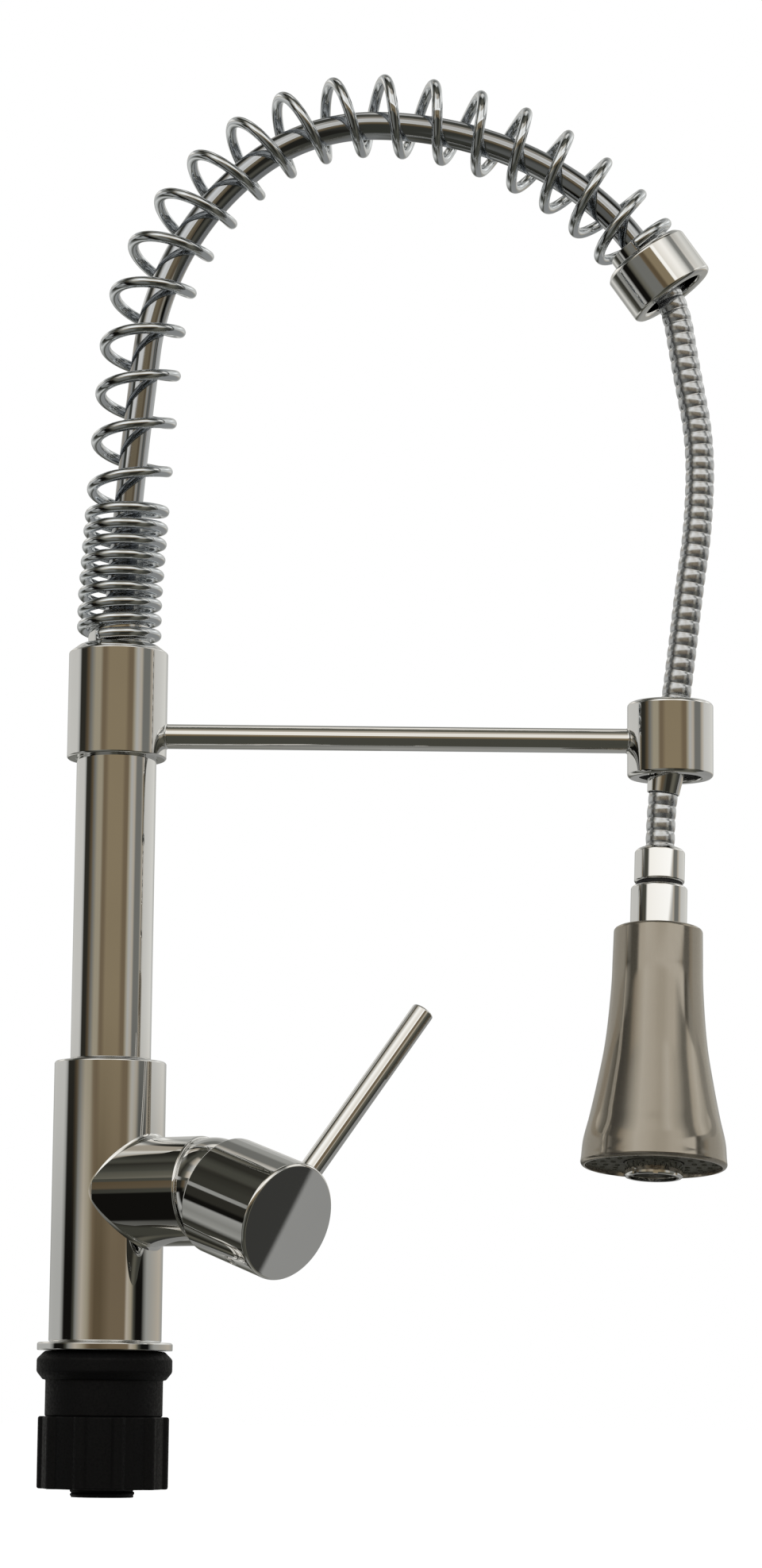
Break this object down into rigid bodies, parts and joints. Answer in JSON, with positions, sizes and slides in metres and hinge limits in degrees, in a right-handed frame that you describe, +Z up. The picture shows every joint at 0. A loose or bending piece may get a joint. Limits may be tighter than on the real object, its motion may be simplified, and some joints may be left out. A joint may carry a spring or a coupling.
{
  "type": "kitchen faucet",
  "caption": "Single-lever kitchen faucet with a swivelling riser, a coil-spring arch over the hose, a docking arm and a pull-down bell spray head, in chrome.",
  "frame": {"origin": "centre of the base plate's underside, on the deck", "axes": "+Z up out of the deck, +X along the arm towards the spray head, -Y on the side of the valve branch and lever"},
  "size_m": [0.3048, 0.1106, 0.6518],
  "materials": {
    "chrome": "polished",
    "spring_chrome": "polished",
    "brushed_steel": "satin",
    "brass": "machined",
    "black_plastic": "matte",
    "grey_plastic": "matte",
    "white_plastic": "matte",
    "rubber": "matte",
    "ceramic": "polished"
  },
  "bodies": {
    "faucet_base": {"base_plate": "chrome", "base_gasket": "rubber", "threaded_shank": "black_plastic", "faucet_body": "chrome", "cartridge_housing": "white_plastic", "cartridge_seals": "rubber", "fixed_disc": "ceramic", "cartridge_nut": "brass", "bonnet_dome": "chrome", "swivel_nipple": "brass", "swivel_rings": "rubber", "swivel_washer": "grey_plastic", "swivel_clip": "brushed_steel"},
    "deck_nut": {"mounting_nut": "black_plastic"},
    "stem_guide": {"cartridge_rotor": "white_plastic", "pivot_pin": "brushed_steel"},
    "handle": {"lever_stem": "brushed_steel", "handle_cap": "chrome", "lever_rod": "chrome", "handle_screw": "brushed_steel"},
    "valve_disc": {"moving_disc": "ceramic", "disc_carrier": "white_plastic"},
    "spout": {"riser_bush": "brass", "riser_tube": "chrome", "support_collar": "chrome", "collar_screw": "brushed_steel", "collar_seal": "rubber", "arm_rod": "chrome", "docking_ring": "chrome", "dock_bush": "black_plastic", "hose_nipple": "brass", "hose_ferrule": "brushed_steel", "arch_hose": "brushed_steel", "arch_spring": "spring_chrome", "spring_end_cap": "chrome", "hose_grommet": "rubber", "free_hose": "brushed_steel"},
    "head_mount": {"dock_sleeve": "brushed_steel", "short_hose": "brushed_steel", "hose_nut": "chrome", "swivel_spindle": "brass", "seam_ring": "rubber"},
    "spray_head": {"spray_neck": "chrome", "spray_bell": "chrome", "spray_core": "white_plastic", "check_valve": "grey_plastic", "spray_face": "black_plastic", "spray_nozzles": "grey_plastic", "aerator_housing": "chrome", "aerator_mesh": "brushed_steel"}
  },
  "joints": [
    {"name": "nut_run", "type": "slide", "parent": "faucet_base", "child": "deck_nut", "axis": [0, 0, -1], "range_m": [0, 0.035]},
    {"name": "spout_swivel", "type": "hinge", "parent": "faucet_base", "child": "spout", "pos_m": [0, 0, 0.15], "axis": [0, 0, 1], "continuous": true},
    {"name": "mix_turn", "type": "hinge", "parent": "faucet_base", "child": "stem_guide", "pos_m": [0.04834, -0.0302, 0.0695], "axis": [0.848, -0.5299, 0], "range_deg": [-15.2, 74.8]},
    {"name": "lever_lift", "type": "hinge", "parent": "stem_guide", "child": "handle", "pos_m": [0.04834, -0.0302, 0.0695], "axis": [0.4598, 0.7359, -0.497], "range_deg": [-21, 4]},
    {"name": "disc_slide", "type": "slide", "parent": "stem_guide", "child": "valve_disc", "axis": [0.2634, 0.4215, 0.8678], "range_m": [-0.0062, 0.0014]},
    {"name": "head_pull", "type": "slide", "parent": "spout", "child": "head_mount", "axis": [-0.1323, 0, -0.9912], "range_m": [0, 0.08], "stiffness_N_per_m": 60, "springref_m": -0.14, "deforming": ["free_hose"]},
    {"name": "head_swivel", "type": "hinge", "parent": "head_mount", "child": "spray_head", "pos_m": [0.246, 0, 0.22625], "axis": [-0.027, -0.1045, -0.9942], "continuous": true}
  ],
  "couplings": [
    {"joint": "disc_slide", "follows": "lever_lift", "m_per_rad": 0.0166}
  ]
}
